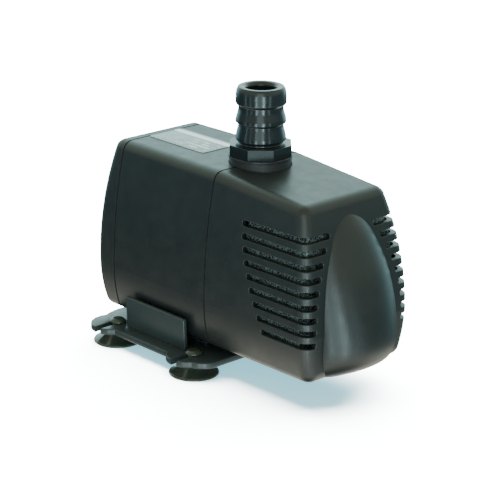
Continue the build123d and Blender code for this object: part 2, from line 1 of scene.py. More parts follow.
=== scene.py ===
"""Submersible fountain pump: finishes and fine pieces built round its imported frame.

Lengths are metres in the frame's own axes: +X towards the strainer's nose, +Z up, floor at z = 0.
"""
from __future__ import annotations

import json
import logging
import math
from dataclasses import dataclass
from enum import Enum

import bmesh
import bpy
import numpy as np
from mathutils import Matrix, Vector


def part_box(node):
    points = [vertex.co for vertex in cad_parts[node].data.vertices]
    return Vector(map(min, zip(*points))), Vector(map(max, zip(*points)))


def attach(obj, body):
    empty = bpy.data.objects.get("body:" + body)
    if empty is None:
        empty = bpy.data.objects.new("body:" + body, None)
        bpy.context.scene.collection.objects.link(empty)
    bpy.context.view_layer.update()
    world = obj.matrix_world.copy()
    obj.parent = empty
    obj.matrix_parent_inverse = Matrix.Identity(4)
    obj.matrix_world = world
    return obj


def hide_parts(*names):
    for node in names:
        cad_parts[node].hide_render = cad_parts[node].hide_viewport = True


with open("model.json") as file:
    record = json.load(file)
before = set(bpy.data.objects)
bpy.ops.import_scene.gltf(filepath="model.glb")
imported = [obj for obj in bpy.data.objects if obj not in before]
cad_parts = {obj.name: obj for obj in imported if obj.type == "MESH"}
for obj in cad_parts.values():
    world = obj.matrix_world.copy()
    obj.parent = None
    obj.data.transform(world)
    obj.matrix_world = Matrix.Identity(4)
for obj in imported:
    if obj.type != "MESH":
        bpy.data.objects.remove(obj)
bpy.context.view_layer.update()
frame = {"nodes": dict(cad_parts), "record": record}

MM = 0.001
LOG = logging.getLogger("fountain_pump")


class Body(Enum):
    """The frame's bodies that the fine pieces ride on."""

    BASE = "base"
    PUMP = "pump"
    STRAINER = "strainer"
    OUTLET_SEAL = "outlet_seal"
    HOSE_TAIL = "hose_tail"


class Hand(Enum):
    """The pump's two sides, by the sign of their Y."""

    LEFT = 1
    RIGHT = -1


# ---- meshes from arrays -------------------------------------------------------------------------
def skin(name: str, rows: np.ndarray, smooth: float = 40.0) -> bpy.types.Object:
    """Make a closed skin from rings of points.

    Each row is a ring about one axis. Neighbouring rows are joined by quads, and the first and last
    rows are each closed by a fan to their own middle.

    Args:
        name: the piece's name.
        rows: points in metres, shape (rings, points per ring, 3), wound so that faces look outwards.
        smooth: the angle in degrees above which an edge is shown sharp.

    Returns:
        The new object, at the origin.
    """
    rings, count, _ = rows.shape
    ends = np.array([rows[0].mean(0), rows[-1].mean(0)])
    points = np.concatenate([rows.reshape(-1, 3), ends])
    ring, step = np.meshgrid(np.arange(rings - 1), np.arange(count), indexing="ij")
    after = (step + 1) % count
    low = ring * count
    quads = np.stack([low + step, low + after, low + count + after, low + count + step], -1).reshape(-1, 4)
    around = np.arange(count)
    onward = (around + 1) % count
    first = np.stack([onward, around, np.full(count, rings * count)], -1)
    last_ring = (rings - 1) * count
    last = np.stack([last_ring + around, last_ring + onward, np.full(count, rings * count + 1)], -1)
    faces = quads.tolist() + first.tolist() + last.tolist()
    return mesh_piece(name, points, faces, smooth)


def loop_skin(name: str, rows: np.ndarray, smooth: float = 40.0) -> bpy.types.Object:
    """Make a ring-shaped skin: the rows close on themselves both ways.

    Args:
        name: the piece's name.
        rows: points in metres, shape (rings, points per ring, 3), wound so that faces look outwards.
        smooth: the angle in degrees above which an edge is shown sharp.

    Returns:
        The new object, at the origin.
    """
    rings, count, _ = rows.shape
    ring, step = np.meshgrid(np.arange(rings), np.arange(count), indexing="ij")
    after = (step + 1) % count
    low = ring * count
    high = ((ring + 1) % rings) * count
    quads = np.stack([low + step, low + after, high + after, high + step], -1).reshape(-1, 4)
    return mesh_piece(name, rows.reshape(-1, 3), quads.tolist(), smooth)


def mesh_piece(name: str, points: np.ndarray, faces: list, smooth: float) -> bpy.types.Object:
    """Put points and faces into a new object that stands at the origin.

    Args:
        name: the piece's name.
        points: points in metres, shape (n, 3).
        faces: lists of point numbers.
        smooth: the angle in degrees above which an edge is shown sharp.

    Returns:
        The new object.
    """
    mesh = bpy.data.meshes.new(name)
    mesh.from_pydata(points.tolist(), [], faces)
    mesh.validate()
    return piece_of(name, mesh, smooth)


def piece_of(name: str, mesh: bpy.types.Mesh, smooth: float) -> bpy.types.Object:
    """Merge a mesh's doubles, shade it smooth up to an angle and put it into the scene.

    Args:
        name: the piece's name.
        mesh: the mesh, in metres.
        smooth: the angle in degrees above which an edge is shown sharp.

    Returns:
        The new object, at the origin.
    """
    work = bmesh.new()
    work.from_mesh(mesh)
    bmesh.ops.remove_doubles(work, verts=work.verts, dist=1e-6)
    bmesh.ops.dissolve_degenerate(work, edges=work.edges, dist=1e-7)
    work.to_mesh(mesh)
    work.free()
    mesh.polygons.foreach_set("use_smooth", np.ones(len(mesh.polygons), bool))
    mesh.set_sharp_from_angle(angle=math.radians(smooth))
    piece = bpy.data.objects.new(name, mesh)
    bpy.context.scene.collection.objects.link(piece)
    return piece


def ring_angles(count: int) -> np.ndarray:
    """Evenly spaced angles once round, in radians."""
    return np.linspace(0.0, 2 * math.pi, count, endpoint=False)


def turned(profile: np.ndarray, x: float, y: float, count: int) -> np.ndarray:
    """Turn a profile about an upright axis.

    Args:
        profile: radius and height of each row in metres, shape (rows, 2).
        x: the axis's place along X.
        y: the axis's place along Y.
        count: points per ring.

    Returns:
        Points of shape (rows, count, 3): (x + r cos a, y + r sin a, z).
    """
    angle = ring_angles(count)
    radius = profile[:, :1]
    return np.stack([x + radius * np.cos(angle), y + radius * np.sin(angle),
                     np.broadcast_to(profile[:, 1:], (len(profile), count))], -1)


def eased_profile(corners: list[tuple[float, float, float]], steps: int = 5) -> np.ndarray:
    """Round the corners of a profile.

    Each corner is cut back by its own radius along both of its sides, and the cut is filled with a
    quadratic curve that is tangent to both.

    Args:
        corners: radius, height and rounding of each corner, in metres.
        steps: points on each rounded corner.

    Returns:
        Radius and height of each point, shape (n, 2).
    """
    places = np.array([corner[:2] for corner in corners])
    out = [places[0]]
    share = np.linspace(0.0, 1.0, steps)[:, None]
    for before, here, after, corner in zip(places, places[1:], places[2:], corners[1:]):
        back, on = before - here, after - here
        reach_back = min(corner[2], 0.49 * np.linalg.norm(back)) / np.linalg.norm(back)
        reach_on = min(corner[2], 0.49 * np.linalg.norm(on)) / np.linalg.norm(on)
        start, end = here + back * reach_back, here + on * reach_on
        curve = (1 - share) ** 2 * start + 2 * share * (1 - share) * here + share ** 2 * end
        out.extend(curve)
    out.append(places[-1])
    return np.array(out)


# ---- shader helper ------------------------------------------------------------------------------
class Sheet:
    """Adds and wires the nodes of one material."""

    def __init__(self, name: str) -> None:
        """Start an empty material with one surface shader."""
        self.material = bpy.data.materials.new(name)
        self.material.use_nodes = True
        self.tree = self.material.node_tree
        self.shader = self.tree.nodes["Principled BSDF"]
        self.place = self.add("ShaderNodeTexCoord").outputs["Object"]

    def add(self, kind: str, **inputs: object) -> bpy.types.Node:
        """Add a node and set its named inputs.

        Args:
            kind: the node's type.
            inputs: socket names, with _ for spaces, and their values or the outputs that feed them.

        Returns:
            The node.
        """
        node = self.tree.nodes.new(kind)
        for name, value in inputs.items():
            self.feed(node.inputs[name.replace("_", " ")], value)
        return node

    def feed(self, socket: bpy.types.NodeSocket, value: object) -> None:
        """Link an output into a socket, or set the socket's own value.

        Args:
            socket: the socket that takes it.
            value: another node's output, or a constant.
        """
        if isinstance(value, bpy.types.NodeSocket):
            self.tree.links.new(value, socket)
        else:
            socket.default_value = value

    def noise(self, size: float, detail: float = 4.0, rough: float = 0.5, stretch: tuple = (1, 1, 1)) -> object:
        """Noise with cells of about a given size.

        Args:
            size: the size of a cell in metres.
            detail: how many finer layers it has.
            rough: the strength of the finer layers.
            stretch: scale along each axis before the noise is read.

        Returns:
            The noise's value socket.
        """
        mapping = self.add("ShaderNodeMapping", Vector=self.place, Scale=stretch)
        node = self.add("ShaderNodeTexNoise", Vector=mapping.outputs[0], Scale=1.0 / size, Detail=detail,
                        Roughness=rough)
        return node.outputs[0]

    def spread(self, value: object, low: float, high: float, to_low: float, to_high: float) -> object:
        """Map a value from one range to another, held inside it.

        Args:
            value: the value's socket.
            low: start of the range that it comes from.
            high: end of that range.
            to_low: what low becomes.
            to_high: what high becomes.

        Returns:
            The mapped value's socket.
        """
        node = self.add("ShaderNodeMapRange", Value=value)
        for name, number in zip(("From Min", "From Max", "To Min", "To Max"), (low, high, to_low, to_high)):
            node.inputs[name].default_value = number
        return node.outputs[0]

    def mix(self, share: object, one: object, other: object) -> object:
        """Mix two colours by a share.

        Args:
            share: 0 for the first colour, 1 for the second.
            one: the first colour.
            other: the second colour.

        Returns:
            The mixed colour's socket.
        """
        node = self.tree.nodes.new("ShaderNodeMix")
        node.data_type = "RGBA"
        self.feed(node.inputs[0], share)
        self.feed(node.inputs[6], one)
        self.feed(node.inputs[7], other)
        return node.outputs[2]

    def maths(self, kind: str, one: object, other: object = 0.0) -> object:
        """One step of arithmetic on two values.

        Args:
            kind: the operation.
            one: the first value.
            other: the second value.

        Returns:
            The result's socket.
        """
        node = self.tree.nodes.new("ShaderNodeMath")
        node.operation = kind
        self.feed(node.inputs[0], one)
        self.feed(node.inputs[1], other)
        return node.outputs[0]

    def bump(self, height: object, depth: float, under: object | None = None) -> object:
        """Turn a height into a normal.

        Args:
            height: the height's socket, from 0 to 1.
            depth: the real depth in metres.
            under: a normal that this one is laid on.

        Returns:
            The normal's socket.
        """
        node = self.add("ShaderNodeBump", Height=height, Strength=1.0, Distance=depth)
        if under is not None:
            self.feed(node.inputs["Normal"], under)
        return node.outputs[0]

    def set(self, **inputs: object) -> None:
        """Set or link sockets of the surface shader."""
        for name, value in inputs.items():
            self.feed(self.shader.inputs[name.replace("_", " ")], value)


def rgba(colour: tuple[float, float, float]) -> tuple[float, float, float, float]:
    """A colour with full alpha."""
    return (*colour, 1.0)


@dataclass(frozen=True)
class Moulded:
    """Injection-moulded plastic: fine spark-eroded grain, slow gloss variation, a little dust and painted shade along
    its joint lines.
    """

    name: str
    colour: tuple[float, float, float]
    tint: tuple[float, float, float]
    rough: tuple[float, float]
    grain: float = 0.35 * MM
    depth: float = 0.004 * MM
    dust: float = 0.012
    seams: tuple[float, ...] = ()

    def build(self) -> bpy.types.Material:
        """Make the material."""
        sheet = Sheet(self.name)
        drift = sheet.noise(45 * MM, 2.0)
        tone = sheet.mix(sheet.spread(drift, 0.35, 0.65, 0.0, 1.0), rgba(self.colour), rgba(self.tint))
        specks = sheet.spread(sheet.noise(0.45 * MM, 6.0, 0.7), 0.6, 0.78, 0.0, self.dust)
        pale = tuple(min(1.0, 4 * c + 0.06) for c in self.colour)
        colour = sheet.mix(specks, tone, rgba(pale))
        rough = sheet.spread(sheet.noise(7 * MM, 5.0, 0.6), 0.3, 0.7, *self.rough)
        # painted shade: each joint line gets a near-black, fully rough band
        for seam in self.seams:
            painted_seam_shade = self.painted_seam_shade(sheet, seam)
            colour = sheet.mix(painted_seam_shade, colour, rgba((0.0015, 0.002, 0.002)))
            rough = sheet.maths("MAXIMUM", rough, painted_seam_shade)
        sheet.set(Base_Color=colour, Roughness=rough)
        sink = sheet.bump(sheet.noise(22 * MM, 1.0), 0.05 * MM)
        sheet.set(Normal=sheet.bump(sheet.noise(self.grain, 2.0), self.depth, sink))
        return sheet.material

    def painted_seam_shade(self, sheet: Sheet, seam: float) -> object:
        """Painted shade in a joint line: one beside the seam's plane across X, zero beyond 0.65 mm.

        Args:
            sheet: the material's nodes.
            seam: the joint's place along X.

        Returns:
            The dirt's share.
        """
        split = sheet.add("ShaderNodeSeparateXYZ", Vector=sheet.place)
        away = sheet.maths("ABSOLUTE", sheet.maths("SUBTRACT", split.outputs[0], seam))
        return sheet.spread(away, 0.45 * MM, 0.65 * MM, 1.0, 0.0)


@dataclass(frozen=True)
class Rubber:
    """Soft moulded rubber: matt bloom in patches and a skin that drags a little."""

    name: str
    colour: tuple[float, float, float]
    bloom: tuple[float, float, float]
    rough: tuple[float, float] = (0.3, 0.5)

    def build(self) -> bpy.types.Material:
        """Make the material."""
        sheet = Sheet(self.name)
        patches = sheet.spread(sheet.noise(3 * MM, 6.0, 0.65), 0.45, 0.75, 0.0, 0.7)
        sheet.set(Base_Color=sheet.mix(patches, rgba(self.colour), rgba(self.bloom)))
        sheet.set(Roughness=sheet.spread(sheet.noise(2 * MM, 3.0), 0.3, 0.7, *self.rough))
        sheet.set(Normal=sheet.bump(sheet.noise(0.6 * MM, 3.0), 0.008 * MM), Specular_IOR_Level=0.5)
        return sheet.material


@dataclass(frozen=True)
class Metal:
    """Metal with a direction: streaks along one axis, or none where stretch is even."""

    name: str
    colour: tuple[float, float, float]
    dark: tuple[float, float, float]
    rough: tuple[float, float]
    streak: tuple[float, float, float] = (1.0, 1.0, 1.0)
    size: float = 0.5 * MM
    metallic: float = 1.0

    def build(self) -> bpy.types.Material:
        """Make the material."""
        sheet = Sheet(self.name)
        lines = sheet.noise(self.size, 5.0, 0.6, self.streak)
        sheet.set(Base_Color=sheet.mix(sheet.spread(lines, 0.3, 0.7, 0.0, 1.0), rgba(self.colour), rgba(self.dark)))
        sheet.set(Roughness=sheet.spread(lines, 0.3, 0.7, *self.rough), Metallic=self.metallic)
        sheet.set(Normal=sheet.bump(lines, 0.01 * MM))
        return sheet.material


@dataclass(frozen=True)
class Foam:
    """Open-cell foam: glossy struts with painted shade in the pores between them."""

    name: str
    strut: tuple[float, float, float]
    painted_pore_shade: tuple[float, float, float]
    cell: float = 1.1 * MM

    def build(self) -> bpy.types.Material:
        """Make the material."""
        sheet = Sheet(self.name)
        cells = sheet.add("ShaderNodeTexVoronoi", Vector=sheet.place, Scale=1.0 / self.cell)
        walls = sheet.spread(cells.outputs["Distance"], 0.25, 0.6, 0.0, 1.0)
        # painted shade: the middles of the open cells are near-black
        sheet.set(Base_Color=sheet.mix(walls, rgba(self.painted_pore_shade), rgba(self.strut)))
        sheet.set(Roughness=sheet.spread(walls, 0.0, 1.0, 0.9, 0.35))
        sheet.set(Normal=sheet.bump(walls, 0.5 * MM))
        return sheet.material


@dataclass(frozen=True)
class Foil:
    """Printed foil label: a bright band, rows of plain bars and a thin dark border."""

    name: str
    silver: tuple[float, float, float] = (0.5, 0.56, 0.56)
    ground: tuple[float, float, float] = (0.17, 0.2, 0.2)
    lines: float = 7.0

    def build(self) -> bpy.types.Material:
        """Make the material: bars are stripes in X cut off at varied lengths by noise."""
        sheet = Sheet(self.name)
        split = sheet.add("ShaderNodeSeparateXYZ", Vector=sheet.place)
        low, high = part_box("rating_label")
        along = sheet.spread(split.outputs[0], low.x, high.x, 0.0, 1.0)
        across = sheet.spread(split.outputs[1], low.y, high.y, 0.0, 1.0)
        band = sheet.maths("MULTIPLY", sheet.maths("GREATER_THAN", across, 0.76),
                           sheet.maths("LESS_THAN", across, 0.93))
        rows = sheet.maths("LESS_THAN", sheet.maths("FRACT", sheet.maths("MULTIPLY", across, self.lines)), 0.45)
        step = sheet.maths("FLOOR", sheet.maths("MULTIPLY", across, self.lines))
        spot = sheet.add("ShaderNodeCombineXYZ", X=sheet.maths("MULTIPLY", along, 8.0),
                         Y=sheet.maths("MULTIPLY", step, 7.3))
        runs = sheet.add("ShaderNodeTexNoise", Vector=spot.outputs[0], Scale=1.0, Detail=0.0)
        bars = sheet.maths("MULTIPLY", rows, sheet.maths("GREATER_THAN", runs.outputs[0], 0.49))
        inside = sheet.maths("MULTIPLY", sheet.spread(along, 0.05, 0.06, 0.0, 1.0),
                             sheet.spread(along, 0.93, 0.94, 1.0, 0.0))
        below = sheet.maths("MULTIPLY", sheet.maths("LESS_THAN", across, 0.7),
                            sheet.maths("GREATER_THAN", across, 0.1))
        strength = sheet.spread(along, 0.4, 0.75, 0.25, 1.0)
        ink = sheet.maths("MULTIPLY", sheet.maths("MULTIPLY", bars, strength), sheet.maths("MULTIPLY", inside, below))
        base = sheet.mix(sheet.spread(sheet.noise(6 * MM), 0.3, 0.7, 0.0, 1.0), rgba(self.ground),
                         rgba(tuple(1.3 * c for c in self.ground)))
        marked = sheet.mix(ink, base, rgba(self.silver))
        sheet.set(Base_Color=sheet.mix(band, marked, rgba(tuple(1.3 * c for c in self.silver))))
        sheet.set(Metallic=0.4)
        sheet.set(Roughness=sheet.spread(sheet.noise(1.2 * MM), 0.3, 0.7, 0.24, 0.34))
        return sheet.material


# ---- finishes by slot ---------------------------------------------------------------------------
FINISHES = {
    "casing_black": Moulded("casing_black", (0.008, 0.0105, 0.0105), (0.0105, 0.013, 0.0125), (0.33, 0.42), dust=0.0,
                            seams=(-75.5 * MM, 0.0)),
    "base_black": Moulded("base_black", (0.022, 0.03, 0.03), (0.028, 0.037, 0.036), (0.28, 0.38), dust=0.0),
    "gloss_black": Moulded("gloss_black", (0.007, 0.011, 0.012), (0.01, 0.015, 0.016), (0.17, 0.24),
                           depth=0.002 * MM, dust=0.02),
    "gland_rubber": Rubber("gland_rubber", (0.014, 0.014, 0.014), (0.03, 0.03, 0.03)),
    "label_silver": Foil("label_silver"),
    "inner_plastic": Moulded("inner_plastic", (0.02, 0.021, 0.023), (0.03, 0.03, 0.032), (0.35, 0.5)),
    "lamination_steel": Metal("lamination_steel", (0.32, 0.31, 0.3), (0.12, 0.11, 0.11), (0.35, 0.55),
                              (6.0, 0.2, 0.2), 3 * MM),
    "copper_wire": Metal("copper_wire", (0.55, 0.2, 0.07), (0.25, 0.07, 0.02), (0.2, 0.35), (0.3, 0.3, 8.0), 3 * MM),
    "potting_resin": Moulded("potting_resin", (0.03, 0.026, 0.022), (0.045, 0.04, 0.035), (0.3, 0.6), 0.9 * MM,
                             0.02 * MM, 0.4),
    "ceramic_white": Moulded("ceramic_white", (0.78, 0.77, 0.72), (0.83, 0.82, 0.78), (0.08, 0.16), dust=0.0),
    "seal_rubber": Rubber("seal_rubber", (0.012, 0.014, 0.014), (0.03, 0.033, 0.033), (0.35, 0.55)),
    "ferrite_magnet": Metal("ferrite_magnet", (0.06, 0.06, 0.065), (0.03, 0.03, 0.032), (0.4, 0.6), metallic=0.5),
    "impeller_plastic": Moulded("impeller_plastic", (0.5, 0.5, 0.47), (0.56, 0.56, 0.53), (0.3, 0.42), dust=0.1),
    "screw_steel": Metal("screw_steel", (0.62, 0.61, 0.59), (0.4, 0.4, 0.39), (0.2, 0.35), (0.3, 3.0, 3.0)),
    "filter_foam": Foam("filter_foam", (0.1, 0.13, 0.13), (0.002, 0.002, 0.002)),
    "cup_rubber": Rubber("cup_rubber", (0.028, 0.036, 0.027), (0.045, 0.056, 0.043), (0.1, 0.22)),
}


@dataclass
class Wardrobe:
    """Builds each finish once and puts it on pieces and on the frame's own nodes."""

    def __post_init__(self) -> None:
        """Make every material."""
        self.made = {slot: finish.build() for slot, finish in FINISHES.items()}

    def dress(self, piece: bpy.types.Object, slot: str) -> None:
        """Give a piece a finish as its only material."""
        piece.data.materials.clear()
        piece.data.materials.append(self.made[slot])

    def dress_nodes(self) -> None:
        """Give every frame node the finish of its slot in the record."""
        for part in frame["record"]["subparts"]:
            self.dress(frame["nodes"][part["node"]], part["material_slot"])


def settle(piece: bpy.types.Object, body: Body, slot: str, wardrobe: Wardrobe, *nodes: str) -> None:
    """Finish a piece: dress it, let it ride, and hide the frame nodes that it stands for.

    Args:
        piece: the new object.
        body: the body that carries it.
        slot: the record's material slot.
        wardrobe: the finished materials.
        nodes: frame nodes that the piece replaces.
    """
    wardrobe.dress(piece, slot)
    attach(piece, body.value)
    if nodes:
        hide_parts(*nodes)
    LOG.info("piece %s on %s: %d faces", piece.name, body.value, len(piece.data.polygons))


# ---- studio -------------------------------------------------------------------------------------
@dataclass
class Studio:
    """Pale floor, soft light and the camera.

    The bright floor and surround are for the camera alone. The pump is lit by the softboxes, the key
    and a dimmer surround, so that its dark plastic keeps its depth.
    """

    azimuth: float = 46.93
    elevation: float = 19.02
    roll: float = 0.55
    distance: float = 1.085
    focal: float = 144.6
    target: tuple[float, float, float] = (-0.0062, 0.0, 0.0611)
    backdrop: tuple[float, float, float] = (1.1, 1.95, 2.05)
    flank: tuple[float, float, float] = (0.16, 0.28, 0.3)
    left: tuple[float, float, float] = (0.05, 0.12, 0.17)
    table: tuple[float, float, float] = (1.9, 1.85, 1.55)
    ceiling: tuple[float, float, float] = (0.72, 0.72, 0.5)
    dim: tuple[float, float, float] = (0.025, 0.045, 0.06)
    white: float = 20.0
    strip_reach: float = 1.6
    strip_tall: float = 1.3
    strip_rise: float = -0.25

    def camera(self) -> None:
        """Place the camera on its line of sight and turn it by its roll."""
        around, up = math.radians(self.azimuth), math.radians(self.elevation)
        back = Vector((math.sin(around) * math.cos(up), -math.cos(around) * math.cos(up), math.sin(up)))
        data = bpy.data.cameras.new("camera")
        data.lens = self.focal
        data.sensor_width = 36.0
        data.clip_start, data.clip_end = 0.05, 50.0
        camera = bpy.data.objects.new("camera", data)
        camera.location = Vector(self.target) + back * self.distance
        look = (-back).to_track_quat("-Z", "Y").to_matrix()
        turn = Matrix.Rotation(math.radians(self.roll), 3, "Z")
        camera.rotation_euler = (look @ turn).to_euler()
        bpy.context.scene.collection.objects.link(camera)
        bpy.context.scene.camera = camera

    def floor(self) -> bpy.types.Object:
        """A wide pale floor for the camera alone: other rays pass through to the surround below it.

        Returns:
            The floor.
        """
        side = 30.0
        points = np.array([[-side, -side, 0], [side, -side, 0], [side, side, 0], [-side, side, 0]], float)
        floor = mesh_piece("floor", points, [[0, 1, 2, 3]], 30.0)
        sheet = Sheet("floor_pale")
        shade = sheet.mix(sheet.noise(0.4, 2.0), rgba((0.86, 0.87, 0.87)), rgba((0.9, 0.9, 0.9)))
        sheet.set(Base_Color=shade, Roughness=0.7, Specular_IOR_Level=0.0)
        sheet.set(Emission_Color=rgba((0.25, 0.8, 1.0)), Emission_Strength=1.0)
        floor.data.materials.append(sheet.material)
        floor.visible_glossy = False
        floor.visible_diffuse = False
        floor.visible_shadow = False
        return floor

    def lamp(self, name: str, kind: str, place: tuple, aim: tuple = (0, 0, 0.08)) -> bpy.types.Light:
        """Hang a light at a place and aim it at a point.

        Args:
            name: the light's name.
            kind: its type.
            place: where it hangs, in metres.
            aim: the point that it faces.

        Returns:
            The light's data.
        """
        data = bpy.data.lights.new(name, kind)
        light = bpy.data.objects.new(name, data)
        light.location = place
        light.rotation_euler = (Vector(aim) - Vector(place)).to_track_quat("-Z", "Y").to_euler()
        bpy.context.scene.collection.objects.link(light)
        return data

    def strip(self, name: str, bearing: float, width: float, height: float, power: float, rise: float) -> None:
        """A tall narrow softbox behind the camera.

        Args:
            name: the light's name.
            bearing: degrees to the right of the camera, seen from the pump.
            width: metres.
            height: metres.
            power: watts.
            rise: height of its middle in metres.
        """
        around = math.radians(self.azimuth + bearing)
        place = (self.strip_reach * math.sin(around), -self.strip_reach * math.cos(around), rise)
        data = self.lamp(name, "AREA", place)
        data.shape = "RECTANGLE"
        data.size, data.size_y = width, height
        data.energy = power
        data.color = (0.72, 0.96, 1.0)

    def floor_light(self, floor: bpy.types.Object) -> None:
        """Broad light from behind that falls on the floor alone, past the pump, which shades it softly."""
        data = self.lamp("floor_light", "SUN", (-0.5, 0.75, 2.2))
        data.energy = 70.0
        data.angle = math.radians(85.0)
        lit = bpy.data.collections.new("lit_floor")
        lit.objects.link(floor)
        bpy.data.objects["floor_light"].light_linking.receiver_collection = lit

    def key(self) -> None:
        """Weak broad light from above and behind, left out of reflections."""
        data = self.lamp("key", "SUN", (-0.7, 0.6, 1.9))
        data.energy = 3.0
        data.angle = math.radians(60.0)
        bpy.data.objects["key"].visible_glossy = False

    def sky(self) -> None:
        """A surround of soft-edged lobes of light, each bright in its own direction, and white to the camera."""
        world = bpy.data.worlds.new("surround")
        world.use_nodes = True
        bpy.context.scene.world = world
        tree = world.node_tree
        way = tree.nodes.new("ShaderNodeTexCoord").outputs["Generated"]

        def towards(axis: tuple, low: float, high: float) -> object:
            """Zero where the direction's share of an axis is below low, rising smoothly to one at high."""
            dot = tree.nodes.new("ShaderNodeVectorMath")
            dot.operation = "DOT_PRODUCT"
            tree.links.new(way, dot.inputs[0])
            dot.inputs[1].default_value = axis
            ramp = tree.nodes.new("ShaderNodeMapRange")
            ramp.interpolation_type = "SMOOTHSTEP"
            tree.links.new(dot.outputs["Value"], ramp.inputs["Value"])
            ramp.inputs["From Min"].default_value = low
            ramp.inputs["From Max"].default_value = high
            return ramp.outputs[0]

        def both(one: object, other: object) -> object:
            """The product of two shares."""
            node = tree.nodes.new("ShaderNodeMath")
            node.operation = "MULTIPLY"
            tree.links.new(one, node.inputs[0])
            tree.links.new(other, node.inputs[1])
            return node.outputs[0]

        def add_light(total: object, share: object, colour: tuple) -> object:
            """Add a colour times a share to a running total."""
            node = tree.nodes.new("ShaderNodeVectorMath")
            node.operation = "MULTIPLY_ADD"
            tree.links.new(share, node.inputs[0])
            node.inputs[1].default_value = colour
            if isinstance(total, tuple):
                node.inputs[2].default_value = total
            else:
                tree.links.new(total, node.inputs[2])
            return node.outputs[0]

        around = math.radians(self.azimuth)
        ahead = (-math.sin(around), math.cos(around), 0.0)
        right = (math.cos(around), math.sin(around), 0.0)
        level = towards((0, 0, 1), -0.3, -0.05)
        total = add_light(self.dim, both(towards(ahead, 0.25, 0.85), level), self.backdrop)
        total = add_light(total, towards(right, 0.3, 0.95), self.flank)
        total = add_light(total, both(towards((0, 0, -1), 0.35, 0.68), towards((0, 0, 1), -0.97, -0.8)), self.table)
        total = add_light(total, towards((0, 0, 1), 0.05, 0.35), self.ceiling)
        total = add_light(total, both(towards(tuple(-c for c in right), 0.3, 0.9), level), self.left)
        seen = tree.nodes.new("ShaderNodeLightPath").outputs["Is Camera Ray"]
        lit = tree.nodes.new("ShaderNodeMix")
        lit.data_type = "RGBA"
        tree.links.new(seen, lit.inputs[0])
        tree.links.new(total, lit.inputs[6])
        lit.inputs[7].default_value = (self.white, self.white, self.white, 1.0)
        tree.links.new(lit.outputs[2], tree.nodes["Background"].inputs["Color"])

    def build(self) -> None:
        """Put up the whole studio."""
        self.camera()
        self.floor_light(self.floor())
        self.sky()
        self.key()
        for name, bearing, width, power in (("far_left_strip", -72.0, 0.12, 1.5), ("left_strip", -48.0, 0.14, 1.5),
                                            ("middle_strip", -21.0, 0.13, 7.5), ("right_strip", 12.0, 0.17, 12.0),
                                            ("far_right_strip", 40.0, 0.14, 2.5)):
            self.strip(name, bearing, width, self.strip_tall, power, self.strip_rise)
        self.strip("front_panel", -3.0, 0.9, 2.0, 10.5, 0.1)


# ---- pieces -------------------------------------------------------------------------------------
def rounded_block(name: str, low: tuple, high: tuple, ease: float, lean: float = 0.0) -> bpy.types.Object:
    """Make a block with every edge rounded.

    Each point is the inner box's corner of its octant plus the rounding radius along a unit direction:
    p = centre + sign(n) (half - ease) + ease n, with n on a grid of latitude and longitude.

    Args:
        name: the piece's name.
        low: lowest corner in metres.
        high: highest corner in metres.
        ease: the edges' radius.
        lean: shift along Y for each metre of height above the lowest corner.

    Returns:
        The new object.
    """
    quarter = np.linspace(0.0, math.pi / 2, 5)
    turn = np.concatenate([quarter + k * math.pi / 2 for k in range(4)])
    sign_x = np.repeat([1, -1, -1, 1], 5)
    sign_y = np.repeat([1, 1, -1, -1], 5)
    rise = np.concatenate([quarter - math.pi / 2, quarter])
    sign_z = np.repeat([-1, 1], 5)[:, None]
    centre = (np.array(low) + np.array(high)) / 2
    inner = (np.array(high) - np.array(low)) / 2 - ease
    flat = np.cos(rise)[:, None]
    x = centre[0] + sign_x * inner[0] + ease * flat * np.cos(turn)
    y = centre[1] + sign_y * inner[1] + ease * flat * np.sin(turn)
    z = centre[2] + sign_z * inner[2] + ease * np.sin(rise)[:, None] + 0 * turn
    return skin(name, np.stack([x, y + lean * (z - low[2]), z], -1), 50.0)


def joined(name: str, pieces: list[bpy.types.Object], smooth: float = 40.0) -> bpy.types.Object:
    """Join pieces into one object under a new name."""
    work = bmesh.new()
    for piece in pieces:
        work.from_mesh(piece.data)
        spent = piece.data
        bpy.data.objects.remove(piece)
        bpy.data.meshes.remove(spent)
    mesh = bpy.data.meshes.new(name)
    work.to_mesh(mesh)
    work.free()
    return piece_of(name, mesh, smooth)


def arc(x: float, y: float, radius: float, start: float, end: float, steps: int = 13) -> np.ndarray:
    """Points along an arc: (x + r cos a, y + r sin a), with angles in degrees."""
    angle = np.radians(np.linspace(start, end, steps))
    return np.stack([x + radius * np.cos(angle), y + radius * np.sin(angle)], -1)


